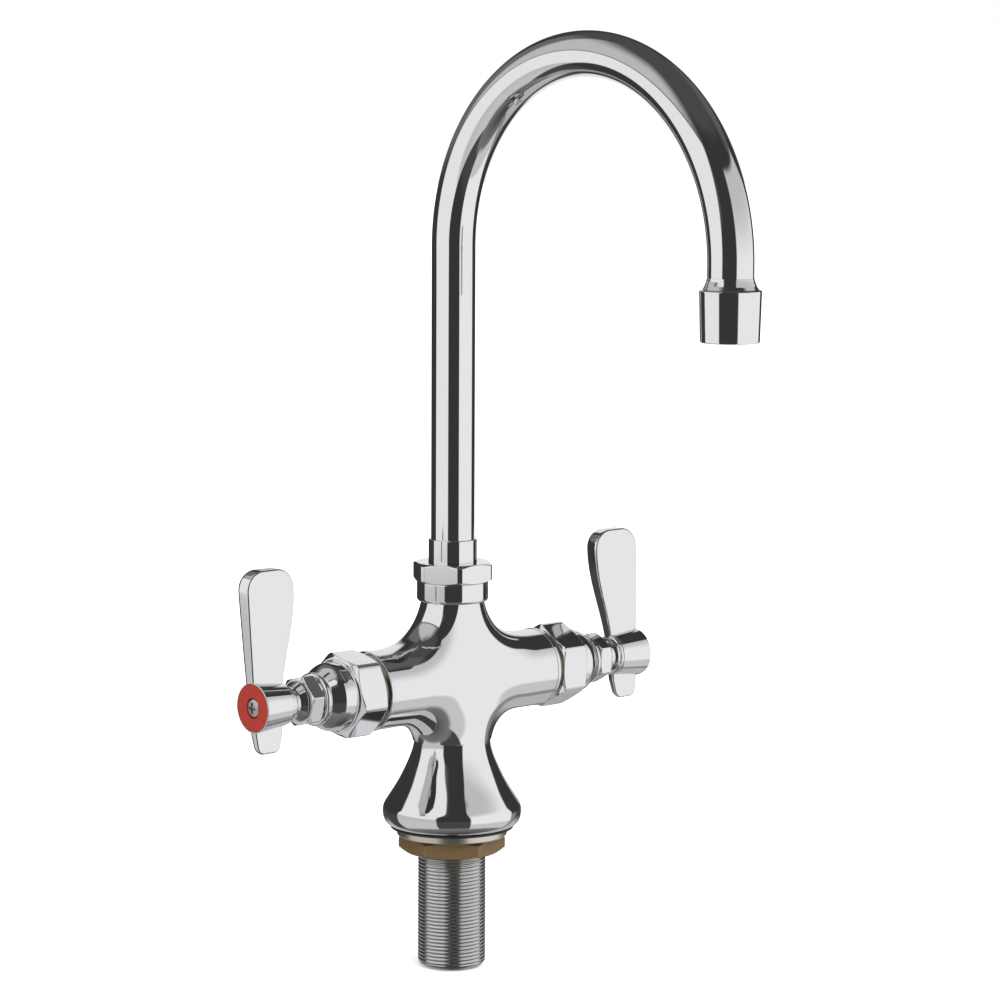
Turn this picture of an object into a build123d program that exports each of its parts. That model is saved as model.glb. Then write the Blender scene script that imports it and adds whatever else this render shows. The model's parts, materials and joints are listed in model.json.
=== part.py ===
from build123d import *
import math
import os

# Millimetres, Z up. The origin is where the shank's axis meets the deck.
# The spout points to -Y at rest, the hot side is -X and the cold side is +X.

os.makedirs("parts", exist_ok=True)

# Clearances between pieces
running_gap = 0.08
open_gap = 0.4
seat_gap = 0.1

# Deck stack, from the deck down
deck_level = 0
gasket_radius = 25.5
gasket_lip_width = 1.9
gasket_height = 1.0
gasket_recess = 0.2
gasket_rib_width = 4.4
gasket_rib_height = 1.8
shank_radius = 14.0
shank_bore_radius = 11.5
shank_drop = 58.5
shank_engagement = 15.0
shank_end_chamfer = 1.2
washer_radius = 22.8
washer_bottom = 3.2
lock_nut_corner_radius = 22.2
lock_nut_height = 7.0
lock_nut_turn = 18.4

# Casting
arm_height = 62.0
arm_radius = 16.1
arm_end = 46.5
arm_rim_width = 1.6
arm_rim_proud = 0.25
lower_column_radius = 15.8
upper_column_radius = 13.3
top_sweep_radius = 24.0
waist_height = 37.0
bell_lip_radius = 28.7
bell_lip_round = 2.4
bell_lip_top = 7.4
bell_shoulder_radius = 27.4
bell_shoulder_height = 11.1
bell_flank_radius = 22.2
bell_flank_height = 19.5
bell_neck_radius = 18.2
bell_neck_height = 27.9
collar_radius = 14.8
neck_rise = 32.6
collar_height = 8.4
collar_round = 1.6
core_inner_radius = 17.6
core_depth = 9.0
spigot_radius = 12.6
spigot_height = 4.0

# Waterways in the casting
inlet_offset = 6.2
inlet_thread_radius = 5.0
inlet_thread_depth = 12.0
inlet_drill_radius = 4.0
inlet_cross_radius = 3.5
outlet_bore_radius = 8.0
outlet_bore_depth = 14.0
slant_drill_radius = 2.6
slant_rise = 9.0

# Spout
tube_radius = 9.0
tube_wall = 1.0
leg_rise = 137.4
bend_radius = 78.5
leg_drop = 29.2
sleeve_radius = 10.0
sleeve_rise = 17.5
sleeve_foot_depth = 19.0
sleeve_foot_bore_radius = 7.0
sleeve_step = 11.0
o_ring_thickness = 1.7
o_ring_squeeze = 0.06
o_ring_groove_width = 2.0
lower_o_ring_rise = 3.0
upper_o_ring_rise = 9.0
retaining_ring_radius = 12.1
retaining_ring_height = 1.5
retaining_groove_depth = 0.6
bearing_washer_height = 0.8

# Spout nut
spout_nut_corner_radius = 17.0
spout_nut_height = 8.0

# Outlet end
outlet_bottom_radius = 11.4
outlet_top_radius = 12.0
outlet_collar_length = 19.8
outlet_braze_height = 1.9
outlet_edge_round = 0.8
outlet_bore = 9.9
outlet_bore_length = 12.0
aerator_setback = 0.8
aerator_length = 8.0
aerator_wall = 1.2
aerator_floor = 2.0
aerator_core_radius = 1.6
aerator_vane_thickness = 0.9
screen_thickness = 0.7
aerator_washer_height = 1.6
aerator_washer_width = 2.4

# Valve bonnet, measured outward from the casting's middle
bonnet_washer_thickness = 2.2
bonnet_washer_radius = 14.9
arm_bore_radius = 12.5
arm_bore_floor = 22.0
seat_post_radius = 8.7
seat_post_face = 26.0
seat_seal_thickness = 2.5
seat_seal_width = 1.4
disc_radius = 9.0
fixed_disc_thickness = 4.0
moving_disc_thickness = 3.2
disc_window_radius = 2.2
disc_window_offset = 4.8
cage_radius = 11.0
cage_lead = 1.0
cage_length = 11.5
cage_window_radius = 2.6
cage_window_setback = 2.6
bonnet_hex_corner_radius = 17.7
bonnet_hex_length = 13.4
dome_base_radius = 14.6
dome_top_radius = 9.8
dome_length = 9.8
dome_bulge = 1.3
bonnet_collar_radius = 10.8
bonnet_collar_length = 3.4
bonnet_collar_round = 0.4
hot_hex_turn = 12.0
cold_hex_turn = 30.0
chamber_end = 46.0
bearing_length = 20.0

# Spindle
spindle_radius = 5.0
spindle_stem_radius = 4.0
thrust_flange_thickness = 3.0
thrust_washer_thickness = 0.8
foot_width = 5.0
foot_slot_depth = 1.2
spindle_o_ring_thickness = 1.8
inner_o_ring_setback = 5.0
outer_o_ring_setback = 12.0
packing_height = 2.0
gland_thread_radius = 6.5
gland_hex_corner_radius = 10.8
gland_hex_length = 6.4
gland_face_radius = 8.0
gland_face_length = 0.9
hot_gland_turn = 46.0
cold_gland_turn = 30.0
sleeve_gap = 0.3
stem_sleeve_radius = 6.6

# Lever handle
hub_rear = 90.5
hub_length = 14.7
hub_rear_radius = 8.5
hub_front_radius = 10.15
hub_socket_depth = 11.0
index_radius = 9.5
index_thickness = 1.5
screw_head_radius = 4.0
screw_head_height = 1.9
screw_radius = 2.0
screw_length = 8.0
blade_rise = 54.0
blade_width = 24.1
blade_overhang = 1.8
blade_lower_setback = 0.3
blade_root_setback = 0.3
blade_shoulder_run = 1.3
blade_drop = 19.0
tail_inner_taper = 2.5
tail_outer_taper = 1.6
tail_waist_taper = 0.5
blade_front_bottom = -2.4
blade_front_top = 1.7
blade_thickness_bottom = 4.0
blade_thickness_top = 7.1
blade_bow = 0.9
blade_front_round = 0.9
blade_back_round = 2.6

# Ratios and angles
hex_flat_share = math.cos(math.radians(30))
chamfer_share = 0.5
bottom_sweep_share = 0.8
blade_root_share = 0.148
blade_middle_share = 0.537
blade_flare_share = 0.7
blade_round_share = 0.34
tail_round_share = 0.32
tail_waist_share = 0.58
quarter_turn = 90
half = 0.5


def turned(points):
    face = make_face(Plane.XZ * Polyline(*points, close=True))
    return revolve(face, axis=Axis.Z)


def post(radius, low, high):
    return turned([(0, low), (radius, low), (radius, high), (0, high)])


def ring(outer, inner, low, high):
    return turned([(inner, low), (outer, low), (outer, high), (inner, high)])


def torus_ring(outer, thickness, middle):
    ring_axis_radius = outer - thickness * half
    return Pos(0, 0, middle) * Torus(ring_axis_radius, thickness * half)


def hex_block(corner_radius, low, high, turn):
    # A hexagon whose corners are turned off at both faces
    flat = corner_radius * hex_flat_share
    drop = (corner_radius - flat) * chamfer_share
    outline = RegularPolygon(corner_radius, 6, rotation=turn)
    block = Pos(0, 0, low) * extrude(outline, high - low)
    envelope = [(0, low), (flat, low), (corner_radius, low + drop)]
    envelope += [(corner_radius, high - drop), (flat, high), (0, high)]
    return block & turned(envelope)


def save(name, solid):
    solid.label = name
    export_step(solid, "parts/" + name + ".step")


# Where the pieces of the valve train sit along the arm
arm_plane = Plane(origin=(0, 0, arm_height), x_dir=(0, 1, 0), z_dir=(1, 0, 0))
bonnet_face = arm_end + bonnet_washer_thickness
bonnet_hex_outer = bonnet_face + bonnet_hex_length
dome_top = bonnet_hex_outer + dome_length
bonnet_end = dome_top + bonnet_collar_length
gland_hex_start = bonnet_end + gland_face_length
gland_end = gland_hex_start + gland_hex_length
hub_front = hub_rear + hub_length
index_seat = hub_front - index_thickness
bearing_end = chamber_end + bearing_length
seal_end = seat_post_face + seat_seal_thickness
fixed_disc_end = seal_end + fixed_disc_thickness
moving_disc_end = fixed_disc_end + moving_disc_thickness
cage_start = seal_end + cage_lead
cage_end = cage_start + cage_length
chamber_radius = disc_radius + seat_gap
moving_radius = chamber_radius - open_gap
stem_end = hub_rear + hub_socket_depth


def on_arm(solid):
    return arm_plane.location * solid


def save_pair(name, cold, hot=None):
    if hot is None:
        hot = cold
    save("cold_" + name, cold)
    save("hot_" + name, mirror(hot, about=Plane.YZ))


# Casting: bell, column, arms and collar blended by two sweeps
lip_arc = TangentArc(
    (bell_lip_radius, bell_lip_top), (bell_shoulder_radius, bell_shoulder_height), tangent=(0, 1)
)
flank = Spline(
    lip_arc @ 1,
    (bell_flank_radius, bell_flank_height),
    (bell_neck_radius, bell_neck_height),
    (lower_column_radius, waist_height),
    tangents=[lip_arc % 1, (0, 1)],
)
foot_outline = lip_arc + flank + Polyline(
    (lower_column_radius, waist_height),
    (lower_column_radius, arm_height),
    (0, arm_height),
    (0, gasket_height),
    (bell_lip_radius, gasket_height),
    (bell_lip_radius, bell_lip_top),
)
foot_face = make_face(Plane.XZ * foot_outline)
lip_corner = foot_face.vertices().sort_by(Axis.X)[-2:].sort_by(Axis.Z)[0]
bell = revolve(fillet(lip_corner, bell_lip_round), axis=Axis.Z)

cross_arm = Pos(-arm_end, 0, 0) * (arm_plane.location * post(arm_radius, 0, arm_end + arm_end))
collar_bottom = arm_height + neck_rise
collar_top = collar_bottom + collar_height
neck_top = collar_top + top_sweep_radius
neck = post(upper_column_radius, arm_height, neck_top)
tee = bell + cross_arm + neck


def seam(solid, low, high):
    # The edges where the column meets the arms, between two heights
    found = []
    for edge in solid.edges():
        span = edge.bounding_box()
        inside = low < span.min.Z and span.max.Z < high
        if inside and abs(edge.center().X) < arm_radius and span.size.Z > arm_rim_proud:
            found.append(edge)
    return found


tee = fillet(seam(tee, arm_height, neck_top), top_sweep_radius)
bottom_sweep_radius = arm_radius * bottom_sweep_share
arm_underside = arm_height - arm_radius - seat_gap
tee = fillet(seam(tee, arm_underside, arm_height + seat_gap), bottom_sweep_radius)
tee = tee & post(arm_end + arm_end, 0, collar_bottom + collar_round)
collar = post(collar_radius, collar_bottom, collar_top)
collar = fillet(collar.edges().sort_by(Axis.Z)[0], collar_round)
rim = ring(arm_radius + arm_rim_proud, arm_bore_radius, arm_end - arm_rim_width, arm_end)
cold_rim = on_arm(rim)
hot_rim = mirror(cold_rim, about=Plane.YZ)
spigot_top = collar_top + spigot_height
casting = tee + collar + post(spigot_radius, collar_top, spigot_top) + cold_rim + hot_rim

sleeve_foot = spigot_top - sleeve_foot_depth
outlet_floor = sleeve_foot - outlet_bore_depth
shank_top = gasket_height + shank_engagement
casting -= post(shank_radius, 0, shank_top)
casting -= ring(core_inner_radius + gasket_rib_width + seat_gap, core_inner_radius - seat_gap, 0, core_depth)
casting -= post(sleeve_radius + running_gap, sleeve_foot, spigot_top)
casting -= post(outlet_bore_radius, outlet_floor, sleeve_foot)
arm_cut = ring(arm_bore_radius, seat_post_radius, arm_bore_floor, seat_post_face)
arm_cut += post(arm_bore_radius, seat_post_face, arm_end)
arm_cut += post(inlet_cross_radius, inlet_offset, seat_post_face)
slant_start = Vector(outlet_bore_radius * half, 0, outlet_floor + slant_drill_radius + slant_rise * half)
slant_end = Vector(arm_bore_floor + seat_gap, 0, arm_height + seat_post_radius + slant_drill_radius)
slant_run = slant_end - slant_start
slant_plane = Plane(origin=tuple(slant_start), z_dir=tuple(slant_run))
cold_cuts = [on_arm(arm_cut), slant_plane.location * post(slant_drill_radius, 0, slant_run.length)]
inlet = post(inlet_thread_radius, shank_top, shank_top + inlet_thread_depth)
inlet += post(inlet_drill_radius, shank_top, arm_height)
cold_cuts.append(Pos(inlet_offset, 0, 0) * inlet)
for cut in cold_cuts:
    casting = casting - cut - mirror(cut, about=Plane.YZ)
save("body_casting", casting)

# Deck stack
shank = ring(shank_radius, shank_bore_radius, -shank_drop, shank_top)
shank_rims = shank.edges().filter_by(GeomType.CIRCLE).filter_by(lambda e: e.radius > shank_bore_radius)
shank = chamfer(shank_rims.sort_by(Axis.Z)[0], shank_end_chamfer)
save("mounting_shank", shank)

lip_inner = gasket_radius - gasket_lip_width
gasket = ring(gasket_radius, shank_radius + seat_gap, deck_level, gasket_height)
gasket -= post(lip_inner, deck_level, gasket_recess)
gasket += ring(
    core_inner_radius + gasket_rib_width, core_inner_radius, gasket_height, gasket_height + gasket_rib_height
)
save("base_gasket", gasket)

save("lock_washer", ring(washer_radius, shank_radius + open_gap, -washer_bottom, gasket_recess))

nut_bottom = -washer_bottom - lock_nut_height
lock_nut = hex_block(lock_nut_corner_radius, nut_bottom, -washer_bottom, lock_nut_turn)
lock_nut -= post(shank_radius + running_gap, nut_bottom, -washer_bottom)
save("lock_nut", lock_nut)

# Spout nut and the bearing washer it holds down
spout_nut_top = collar_top + spout_nut_height
ring_top = spigot_top + retaining_ring_height
bearing_top = ring_top + bearing_washer_height
spout_nut = hex_block(spout_nut_corner_radius, collar_top, spout_nut_top, 0)
spout_nut -= post(spigot_radius, collar_top, bearing_top)
spout_nut -= post(sleeve_radius + running_gap, bearing_top, spout_nut_top)
save("spout_nut", spout_nut)
save("spout_bearing_washer", ring(spigot_radius, sleeve_radius + open_gap, ring_top, bearing_top))

# Swivel spout: tube, sleeve with two O-ring grooves, retaining ring
sleeve_top = collar_top + sleeve_rise
bend_start = collar_top + leg_rise
sleeve_step_height = sleeve_foot + sleeve_step
foot_point = (0, 0, sleeve_step_height)
path = Line(foot_point, (0, 0, bend_start))
path += ThreePointArc(
    (0, 0, bend_start),
    (0, -bend_radius, bend_start + bend_radius),
    (0, -bend_radius - bend_radius, bend_start),
)
reach = bend_radius + bend_radius
outlet_face = bend_start - leg_drop
tube_tip = outlet_face + outlet_bore_length
path += Line((0, -reach, bend_start), (0, -reach, tube_tip))
section = Plane(origin=foot_point, z_dir=(0, 0, 1)) * (Circle(tube_radius) - Circle(tube_radius - tube_wall))
save("spout_tube", sweep(section, path=path))

sleeve = turned([
    (sleeve_foot_bore_radius, sleeve_foot),
    (sleeve_radius, sleeve_foot),
    (sleeve_radius, sleeve_top),
    (tube_radius, sleeve_top),
    (tube_radius, sleeve_step_height),
    (sleeve_foot_bore_radius, sleeve_step_height),
])
sleeve = chamfer(
    sleeve.edges().filter_by(GeomType.CIRCLE).filter_by(lambda e: e.radius > tube_radius).sort_by(Axis.Z)[-1],
    sleeve_radius * half - tube_radius * half,
)
groove_floor = sleeve_radius - o_ring_thickness
for rise, name in ((lower_o_ring_rise, "lower"), (upper_o_ring_rise, "upper")):
    middle = sleeve_foot + rise
    low = middle - o_ring_groove_width * half
    sleeve -= ring(sleeve_radius + running_gap, groove_floor, low, low + o_ring_groove_width)
    save(
        "spout_o_ring_" + name,
        torus_ring(sleeve_radius + running_gap - o_ring_squeeze, o_ring_thickness, middle),
    )
ring_inner = sleeve_radius - retaining_groove_depth
sleeve -= ring(sleeve_radius + running_gap, ring_inner, spigot_top, ring_top)
save("spout_sleeve", sleeve)
save("spout_retaining_ring", ring(retaining_ring_radius, ring_inner, spigot_top, ring_top))

# Outlet end: brazed collar and the aerator inside it
outlet_top = outlet_face + outlet_collar_length
outlet_collar = turned([
    (outlet_bore, outlet_face),
    (outlet_bottom_radius, outlet_face),
    (outlet_top_radius, outlet_top),
    (tube_radius + outlet_braze_height * half, outlet_top + outlet_edge_round),
    (tube_radius, outlet_top + outlet_braze_height),
    (tube_radius, tube_tip),
    (outlet_bore, tube_tip),
])
outlet_edges = outlet_collar.edges().filter_by(GeomType.CIRCLE)
outlet_edges = outlet_edges.filter_by(lambda e: e.radius > outlet_bottom_radius - seat_gap)
outlet_collar = fillet(outlet_edges, outlet_edge_round * half)
at_outlet = Pos(0, -reach, 0)
save("outlet_collar", at_outlet * outlet_collar)

insert_bottom = outlet_face + aerator_setback
insert_top = insert_bottom + aerator_length
insert_radius = outlet_bore - seat_gap * half
insert = ring(insert_radius, insert_radius - aerator_wall, insert_bottom, insert_top)
vane = Pos(0, 0, insert_top - aerator_floor * half) * Box(
    insert_radius + insert_radius - aerator_wall, aerator_vane_thickness, aerator_floor
)
insert += post(aerator_core_radius, insert_top - aerator_floor, insert_top)
for turn in (0, 45, 90, 135):
    insert += Rot(0, 0, turn) * vane
save("aerator_insert", at_outlet * insert)
save(
    "aerator_screen",
    at_outlet * post(insert_radius - aerator_wall, insert_bottom, insert_bottom + screen_thickness),
)
aerator_washer = ring(
    insert_radius, insert_radius - aerator_washer_width, insert_top, insert_top + aerator_washer_height
)
save("aerator_washer", at_outlet * aerator_washer)

# Bonnets: caged chamber, hexagon, dome and collar
bonnet_outline = Polyline(
    (dome_top_radius, dome_top),
    (bonnet_collar_radius, dome_top),
    (bonnet_collar_radius, bonnet_end),
    (gland_thread_radius, bonnet_end),
    (gland_thread_radius, bearing_end),
    (spindle_radius + running_gap, bearing_end),
    (spindle_radius + running_gap, chamber_end),
    (chamber_radius, chamber_end),
    (chamber_radius, cage_start),
    (cage_radius, cage_start),
    (cage_radius, cage_end),
    (arm_bore_radius, cage_end),
    (arm_bore_radius, bonnet_hex_outer - bonnet_hex_length * half),
    (dome_base_radius, bonnet_hex_outer - bonnet_hex_length * half),
    (dome_base_radius, bonnet_hex_outer),
)
bonnet_outline += SagittaArc(
    (dome_base_radius, bonnet_hex_outer), (dome_top_radius, dome_top), -dome_bulge
)
bonnet_core = revolve(make_face(Plane.XZ * bonnet_outline), axis=Axis.Z)
flange_edges = bonnet_core.edges().filter_by(GeomType.CIRCLE)
flange_edges = flange_edges.filter_by(lambda e: abs(e.radius - bonnet_collar_radius) < seat_gap)
bonnet_core = fillet(flange_edges, bonnet_collar_round)


def bonnet(turn):
    hexagon = hex_block(bonnet_hex_corner_radius, bonnet_face, bonnet_hex_outer, turn)
    hexagon -= post(arm_bore_radius, bonnet_face, bonnet_hex_outer)
    solid = bonnet_core + hexagon
    window = Plane.XZ.location * post(cage_window_radius, 0, cage_radius + open_gap)
    window_height = cage_end - cage_window_setback - cage_window_radius
    for angle in (45, 135, 225, 315):
        solid -= Rot(0, 0, angle) * Pos(0, 0, window_height) * window
    return on_arm(solid)


save_pair("bonnet", bonnet(cold_hex_turn), bonnet(hot_hex_turn))
save_pair("bonnet_washer", on_arm(ring(bonnet_washer_radius, arm_bore_radius, arm_end, bonnet_face)))

# Quarter-turn disc set
save_pair(
    "seat_seal",
    on_arm(ring(seat_post_radius, seat_post_radius - seat_seal_width, seat_post_face, seal_end)),
)


def disc(radius, low, high, angle):
    solid = post(radius, low, high)
    hole = post(disc_window_radius, low, high)
    for flip in (0, 180):
        solid -= Rot(0, 0, angle + flip) * Pos(disc_window_offset, 0, 0) * hole
    return solid


foot_bottom = moving_disc_end - foot_slot_depth
foot_bar = Box(
    foot_width, moving_radius + moving_radius, chamber_end - foot_bottom,
    align=(Align.CENTER, Align.CENTER, Align.MIN),
)
save_pair("fixed_disc", on_arm(disc(disc_radius, seal_end, fixed_disc_end, quarter_turn)))
moving = disc(moving_radius, fixed_disc_end, moving_disc_end, 0)
moving -= Pos(0, 0, foot_bottom) * foot_bar
save_pair("moving_disc", on_arm(moving))

# Spindle, its seals and the gland nut
flange_end = chamber_end - thrust_washer_thickness
flange_start = flange_end - thrust_flange_thickness
foot = (Pos(0, 0, foot_bottom) * foot_bar) & post(moving_radius, foot_bottom, flange_start)
spindle = foot + turned([
    (0, flange_start),
    (moving_radius, flange_start),
    (moving_radius, flange_end),
    (spindle_radius, flange_end),
    (spindle_radius, bearing_end),
    (spindle_stem_radius, bearing_end),
    (spindle_stem_radius, stem_end),
    (0, stem_end),
])
spindle_groove_floor = spindle_radius - spindle_o_ring_thickness
for setback, name in ((inner_o_ring_setback, "inner"), (outer_o_ring_setback, "outer")):
    middle = chamber_end + setback
    low = middle - o_ring_groove_width * half
    spindle -= ring(spindle_radius + running_gap, spindle_groove_floor, low, low + o_ring_groove_width)
    save_pair(
        "spindle_o_ring_" + name,
        on_arm(torus_ring(spindle_radius + running_gap - o_ring_squeeze, spindle_o_ring_thickness, middle)),
    )
screw_start = index_seat - screw_length
spindle -= post(screw_radius, screw_start, stem_end)
save_pair("spindle", on_arm(spindle))
save_pair(
    "thrust_washer",
    on_arm(ring(moving_radius, spindle_radius + open_gap, flange_end, chamber_end)),
)
save_pair(
    "stem_packing",
    on_arm(ring(gland_thread_radius, spindle_stem_radius + running_gap, bearing_end, bearing_end + packing_height)),
)


def gland(turn):
    solid = hex_block(gland_hex_corner_radius, gland_hex_start, gland_end, turn)
    solid += post(gland_face_radius, bonnet_end, gland_hex_start)
    solid += post(gland_thread_radius, bearing_end + packing_height, bonnet_end)
    solid -= post(spindle_stem_radius + running_gap, bearing_end + packing_height, gland_end)
    return on_arm(solid)


save_pair("gland_nut", gland(cold_gland_turn), gland(hot_gland_turn))
save_pair(
    "stem_sleeve",
    on_arm(ring(stem_sleeve_radius, spindle_stem_radius, gland_end + sleeve_gap, hub_rear)),
)

# Lever handle: paddle blade through a tapered hub
blade_top = arm_height + blade_rise
blade_outer = hub_front + blade_overhang
blade_inner = blade_outer - blade_width
blade_lower_outer = hub_front - blade_lower_setback
blade_root_inner = hub_rear - blade_root_setback
blade_root_height = arm_height + blade_rise * blade_root_share
blade_middle_inner = blade_root_inner + (blade_inner - blade_root_inner) * blade_flare_share
blade_middle_height = arm_height + blade_rise * blade_middle_share
blade_top_round = blade_width * blade_round_share
blade_shoulder_height = blade_top - blade_top_round - blade_shoulder_run
tail_bottom = arm_height - blade_drop
tail_waist_height = arm_height - blade_drop * tail_waist_share
tail_waist_inner = hub_rear + tail_waist_taper
tail_inner = hub_rear + tail_inner_taper
tail_outer = hub_front - tail_outer_taper
tail_round = (tail_outer - tail_inner) * tail_round_share
inner_edge = Spline(
    (tail_waist_inner, tail_waist_height),
    (blade_root_inner, blade_root_height),
    (blade_middle_inner, blade_middle_height),
    (blade_inner, blade_shoulder_height),
    tangents=[(0, 1), (0, 1)],
)
blade_outline = make_face(Plane.XZ * (inner_edge + Polyline(
    (blade_inner, blade_shoulder_height),
    (blade_inner, blade_top),
    (blade_outer, blade_top),
    (blade_lower_outer, tail_waist_height),
    (tail_outer, tail_bottom),
    (tail_inner, tail_bottom),
    (tail_waist_inner, tail_waist_height),
)))
blade_outline = fillet(blade_outline.vertices().sort_by(Axis.Z)[0:2], tail_round)
blade_outline = fillet(blade_outline.vertices().sort_by(Axis.Z)[-2:], blade_top_round)
blade_back_bottom = blade_front_bottom + blade_thickness_bottom
blade_back_top = blade_front_top + blade_thickness_top
slab = extrude(blade_outline, blade_back_top + blade_back_top, both=True)
# The front face is flat and leans back, the back face is slightly bowed
# Both run on past the tail and the tip, so that no edge of theirs meets the outline's
below = tail_bottom - blade_top_round
above = blade_top + blade_top_round
back_run = blade_top_round * (blade_back_top - blade_back_bottom) / (blade_top - tail_bottom)
back_below = blade_back_bottom - back_run
back_above = blade_back_top + back_run
back_line = ThreePointArc(
    (back_below, below),
    ((blade_back_bottom + blade_back_top) * half + blade_bow, (tail_bottom + blade_top) * half),
    (back_above, above),
)
side_outline = back_line + Polyline(
    (back_above, above),
    (blade_front_top, above),
    (blade_front_bottom, below),
    (back_below, below),
)
wedge = extrude(make_face(Plane.YZ * side_outline), blade_outer + blade_outer)
blade = slab & wedge
face_edges = [e for e in blade.edges() if abs(e.tangent_at(half).Y) < half]
front_edges = [e for e in face_edges if e.center().Y < blade_front_top + seat_gap]
back_edges = [e for e in face_edges if e.center().Y > blade_front_top + seat_gap]
blade = fillet(back_edges, blade_back_round)
blade = fillet(front_edges, blade_front_round)
hub = on_arm(turned([
    (0, hub_rear), (hub_rear_radius, hub_rear), (hub_front_radius, hub_front), (0, hub_front),
]))
handle = blade + hub
handle -= on_arm(post(spindle_stem_radius, hub_rear, stem_end))
handle -= on_arm(post(index_radius, index_seat, blade_outer))
handle -= on_arm(post(screw_radius, stem_end, index_seat))
save_pair("handle", handle)

index = ring(index_radius, screw_head_radius, index_seat, hub_front)
save_pair("index_disc", on_arm(index))
screw = post(screw_head_radius, index_seat, index_seat + screw_head_height)
screw = fillet(screw.edges().sort_by(Axis.Z)[-1], screw_head_height * half)
screw += post(screw_radius, screw_start, index_seat)
save_pair("handle_screw", on_arm(screw))
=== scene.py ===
import json

import bmesh
import bpy
import numpy as np
from mathutils import Matrix


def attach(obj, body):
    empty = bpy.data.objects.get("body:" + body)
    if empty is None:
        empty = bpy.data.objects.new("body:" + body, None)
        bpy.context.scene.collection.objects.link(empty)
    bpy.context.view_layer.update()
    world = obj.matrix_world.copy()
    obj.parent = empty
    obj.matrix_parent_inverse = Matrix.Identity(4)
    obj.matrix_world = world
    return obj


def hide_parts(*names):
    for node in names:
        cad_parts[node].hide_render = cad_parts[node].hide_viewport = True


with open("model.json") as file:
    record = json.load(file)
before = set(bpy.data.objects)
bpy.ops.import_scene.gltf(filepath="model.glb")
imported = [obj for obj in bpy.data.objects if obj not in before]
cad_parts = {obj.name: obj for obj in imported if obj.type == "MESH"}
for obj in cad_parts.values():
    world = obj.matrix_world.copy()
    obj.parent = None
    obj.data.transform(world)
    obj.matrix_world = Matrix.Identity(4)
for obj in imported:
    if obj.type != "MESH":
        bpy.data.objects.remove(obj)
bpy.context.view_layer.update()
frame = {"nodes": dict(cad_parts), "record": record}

# Sizes are in millimetres in this script and become metres when a mesh is made.
mm = 0.001
pi = np.pi
armHeight = 62.0  # from the deck up to the arms' axis
mergeGap, leastEdge = 0.002, 0.0005  # points closer than this are one, edges shorter than this go


# Helpers for shapes

def quadsOf(rows, columns, first):
    # Each quad joins a grid point with its neighbours in the next row and column
    row = np.arange(rows - 1)[:, None] * columns
    corner = first + row + np.arange(columns - 1)[None, :]
    return np.stack([corner, corner + 1, corner + columns + 1, corner + columns], -1).reshape(-1, 4)


def makePiece(name, sheets, body, node, slot, sharpAngle=40):
    # A piece is a list of grids, each of shape rows by columns by 3; equal points are merged
    points, quads, first = [], [], 0
    for sheet in sheets:
        rows, columns = sheet.shape[:2]
        points.append(sheet.reshape(-1, 3))
        quads.append(quadsOf(rows, columns, first))
        first += rows * columns
    mesh = bpy.data.meshes.new(name)
    mesh.from_pydata((np.concatenate(points) * mm).tolist(), [], np.concatenate(quads).tolist())
    work = bmesh.new()
    work.from_mesh(mesh)
    bmesh.ops.remove_doubles(work, verts=work.verts, dist=mergeGap * mm)
    bmesh.ops.dissolve_degenerate(work, edges=work.edges, dist=leastEdge * mm)
    bmesh.ops.recalc_face_normals(work, faces=work.faces)
    work.to_mesh(mesh)
    work.free()
    mesh.polygons.foreach_set("use_smooth", np.ones(len(mesh.polygons), bool))
    mesh.set_sharp_from_angle(angle=np.radians(sharpAngle))
    mesh.materials.append(looks[slot])
    piece = bpy.data.objects.new(name, mesh)
    bpy.context.scene.collection.objects.link(piece)
    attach(piece, body)
    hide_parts(node)
    return piece


def softLine(corners, steps=8):
    # A line of (radius, height, rounding) corners: each corner becomes an arc that touches both sides,
    # and long straight runs get extra points so that the shading stays flat on them
    mostShare, samePoint, longRun, nearEnd, reach = 0.98, 1e-6, 1.0, 0.12, 4.0
    corners = np.array(corners, float)
    line = [corners[:1, :2]]
    for before, here, after in zip(corners[:-2], corners[1:-1], corners[2:]):
        if here[2] == 0:
            line.append(here[None, :2])
            continue
        # Two arcs share a side where the corner at its other end is rounded too
        limitA, limitB = (mostShare * (0.5 if end[2] > 0 else 1) for end in (before, after))
        a = before[:2] - here[:2]
        b = after[:2] - here[:2]
        lengthA, lengthB = np.hypot(*a), np.hypot(*b)
        a, b = a / lengthA, b / lengthB
        halfAngle = 0.5 * np.arccos(np.clip(a @ b, -1, 1))
        cut = min(here[2] / np.tan(halfAngle), limitA * lengthA, limitB * lengthB)
        radius = cut * np.tan(halfAngle)
        middle = here[:2] + (a + b) / np.hypot(*(a + b)) * radius / np.sin(halfAngle)
        start, end = here[:2] + a * cut - middle, here[:2] + b * cut - middle
        turn = np.arccos(np.clip(start @ end / radius ** 2, -1, 1))
        share = np.linspace(0, 1, steps + 1)[:, None]
        arc = (np.sin((1 - share) * turn) * start + np.sin(share * turn) * end) / np.sin(turn)
        line.append(middle + arc)
    line.append(corners[-1:, :2])
    line = np.concatenate(line)
    gaps = np.hypot(*np.diff(line, axis=0).T)
    parts = [line[:1]]
    for index, gap in enumerate(gaps):
        if gap < samePoint:
            continue
        if gap > longRun:
            inner = np.linspace(0, 1, int(np.ceil(gap / reach)) + 1)[1:]
            share = np.unique(np.concatenate([[nearEnd / gap, 1 - nearEnd / gap], inner]))
        else:
            share = np.array([1.0])
        parts.append(line[index] + share[:, None] * (line[index + 1] - line[index]))
    return np.concatenate(parts)


def lifted(line, level, radius=0.0):
    # The same (radius, height, rounding) corners, moved up by a level and out by a radius
    return [(radius + across, level + rise, rounding) for across, rise, rounding in line]


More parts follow.
